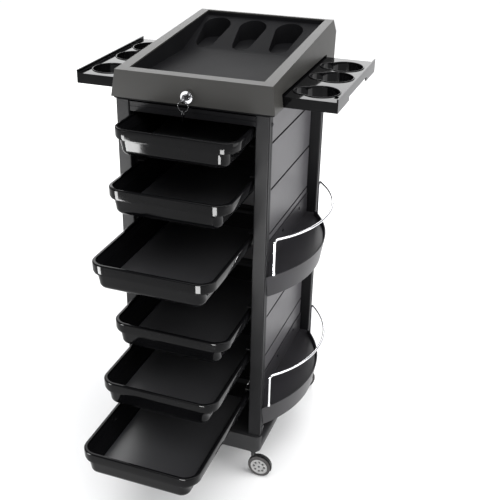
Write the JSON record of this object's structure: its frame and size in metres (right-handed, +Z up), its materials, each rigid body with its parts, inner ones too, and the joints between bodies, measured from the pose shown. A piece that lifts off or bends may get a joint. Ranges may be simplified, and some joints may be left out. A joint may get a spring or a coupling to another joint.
{
  "type": "rolling salon trolley",
  "caption": "Tall narrow trolley on swivel casters with pull-out trays, a lockable top case with a sunken tray, sliding tool wings and railed side shelves.",
  "frame": {"origin": "centre of the bounding box at floor level, under the middle of the trolley with its trays as pulled out at rest", "axes": "+Z up, the trays pull out towards -Y, the side shelves are on the +X side"},
  "size_m": [0.514, 0.708, 0.896],
  "materials": {
    "charcoal_plastic": "fine-grained moulded base and body parts",
    "frame_dark": "extrusions with a satin dark grey coat",
    "panel_grey": "satin grey planked panels",
    "runner_black": "black moulded runners and guides",
    "black_screws": "blackened cross-head screws",
    "runner_steel": "zinc-plated steel",
    "case_plastic": "fine-grained charcoal top case",
    "liner_black": "black liner, slight sheen",
    "gloss_black": "polished black",
    "shelf_plastic": "satin dark grey shelves",
    "chrome": "polished chrome",
    "screw_steel": "plated axles",
    "key_steel": "nickel-plated keys, ring and lock parts",
    "caster_black": "black moulded caster hoods",
    "tyre_rubber": "dark grey rubber tyres",
    "hub_white": "white moulded hub discs"
  },
  "bodies": {
    "frame": {"base_shell": "charcoal_plastic", "base_plate": "charcoal_plastic", "post_front_left": "frame_dark", "post_front_right": "frame_dark", "post_rear_left": "frame_dark", "post_rear_right": "frame_dark", "left_side_panel": "panel_grey", "right_side_panel": "panel_grey", "back_panel": "panel_grey", "left_tray_rails": "runner_black", "right_tray_rails": "runner_black", "front_cross_rail": "frame_dark", "case_floor": "liner_black", "top_case": "case_plastic", "top_tray": "liner_black", "wing_guides": "runner_black", "lock_barrel": "chrome", "lock_nut": "runner_steel", "upper_shelf": "shelf_plastic", "lower_shelf": "shelf_plastic", "upper_guard_rail": "chrome", "lower_guard_rail": "chrome", "guard_rail_ferrules": "chrome", "shelf_screws": "black_screws", "frame_screws": "black_screws", "caster_stems": "runner_steel"},
    "tray_1": {"tray_1": "gloss_black"},
    "tray_2": {"tray_2": "gloss_black"},
    "tray_3": {"tray_3": "gloss_black"},
    "tray_4": {"tray_4": "gloss_black"},
    "tray_5": {"tray_5": "gloss_black"},
    "tray_6": {"tray_6": "gloss_black"},
    "left_wing": {"left_wing": "gloss_black"},
    "right_wing": {"right_wing": "gloss_black"},
    "lock_cylinder": {"lock_plug": "key_steel", "key": "key_steel", "lock_cam": "key_steel", "cam_screw": "key_steel"},
    "key_ring": {"key_ring": "key_steel"},
    "spare_key": {"spare_key": "key_steel"},
    "caster_swivel_fl": {"caster_hood_fl": "caster_black"},
    "caster_wheels_fl": {"caster_axle_fl": "screw_steel", "caster_tyres_fl": "tyre_rubber", "caster_hubs_fl": "hub_white"},
    "caster_swivel_fr": {"caster_hood_fr": "caster_black"},
    "caster_wheels_fr": {"caster_axle_fr": "screw_steel", "caster_tyres_fr": "tyre_rubber", "caster_hubs_fr": "hub_white"},
    "caster_swivel_rl": {"caster_hood_rl": "caster_black"},
    "caster_wheels_rl": {"caster_axle_rl": "screw_steel", "caster_tyres_rl": "tyre_rubber", "caster_hubs_rl": "hub_white"},
    "caster_swivel_rr": {"caster_hood_rr": "caster_black"},
    "caster_wheels_rr": {"caster_axle_rr": "screw_steel", "caster_tyres_rr": "tyre_rubber", "caster_hubs_rr": "hub_white"}
  },
  "joints": [
    {"name": "tray_1_slide", "type": "slide", "parent": "frame", "child": "tray_1", "axis": [0, -1, 0], "range_m": [-0.078, 0.212]},
    {"name": "tray_2_slide", "type": "slide", "parent": "frame", "child": "tray_2", "axis": [0, -1, 0], "range_m": [-0.112, 0.178]},
    {"name": "tray_3_slide", "type": "slide", "parent": "frame", "child": "tray_3", "axis": [0, -1, 0], "range_m": [-0.19, 0.1]},
    {"name": "tray_4_slide", "type": "slide", "parent": "frame", "child": "tray_4", "axis": [0, -1, 0], "range_m": [-0.116, 0.174]},
    {"name": "tray_5_slide", "type": "slide", "parent": "frame", "child": "tray_5", "axis": [0, -1, 0], "range_m": [-0.176, 0.114]},
    {"name": "tray_6_slide", "type": "slide", "parent": "frame", "child": "tray_6", "axis": [0, -1, 0], "range_m": [-0.27, 0.02]},
    {"name": "left_wing_slide", "type": "slide", "parent": "frame", "child": "left_wing", "axis": [-1, 0, 0], "range_m": [-0.097, 0]},
    {"name": "right_wing_slide", "type": "slide", "parent": "frame", "child": "right_wing", "axis": [1, 0, 0], "range_m": [-0.097, 0]},
    {"name": "lock_turn", "type": "hinge", "parent": "frame", "child": "lock_cylinder", "pos_m": [-0.006, -0.072, 0.833], "axis": [0, 1, 0], "range_deg": [0, 90]},
    {"name": "key_ring_swing", "type": "hinge", "parent": "lock_cylinder", "child": "key_ring", "pos_m": [-0.006, -0.092, 0.8308], "axis": [-1, 0, 0], "range_deg": [0, 60]},
    {"name": "spare_key_swing", "type": "hinge", "parent": "key_ring", "child": "spare_key", "pos_m": [-0.006, -0.092, 0.8108], "axis": [-1, 0, 0], "range_deg": [-15, 45]},
    {"name": "caster_swivel_fl_turn", "type": "hinge", "parent": "frame", "child": "caster_swivel_fl", "pos_m": [-0.131, -0.056, 0.07], "axis": [0, 0, 1], "continuous": true},
    {"name": "caster_wheels_fl_spin", "type": "hinge", "parent": "caster_swivel_fl", "child": "caster_wheels_fl", "pos_m": [-0.14486, -0.064, 0.025], "axis": [0.5, -0.866, 0], "continuous": true},
    {"name": "caster_swivel_fr_turn", "type": "hinge", "parent": "frame", "child": "caster_swivel_fr", "pos_m": [0.131, -0.056, 0.07], "axis": [0, 0, 1], "continuous": true},
    {"name": "caster_wheels_fr_spin", "type": "hinge", "parent": "caster_swivel_fr", "child": "caster_wheels_fr", "pos_m": [0.147, -0.056, 0.025], "axis": [0, 1, 0], "continuous": true},
    {"name": "caster_swivel_rl_turn", "type": "hinge", "parent": "frame", "child": "caster_swivel_rl", "pos_m": [-0.131, 0.282, 0.07], "axis": [0, 0, 1], "continuous": true},
    {"name": "caster_wheels_rl_spin", "type": "hinge", "parent": "caster_swivel_rl", "child": "caster_wheels_rl", "pos_m": [-0.14486, 0.29, 0.025], "axis": [-0.5, -0.866, 0], "continuous": true},
    {"name": "caster_swivel_rr_turn", "type": "hinge", "parent": "frame", "child": "caster_swivel_rr", "pos_m": [0.131, 0.282, 0.07], "axis": [0, 0, 1], "continuous": true},
    {"name": "caster_wheels_rr_spin", "type": "hinge", "parent": "caster_swivel_rr", "child": "caster_wheels_rr", "pos_m": [0.14411, 0.29118, 0.025], "axis": [-0.5736, 0.8192, 0], "continuous": true}
  ]
}
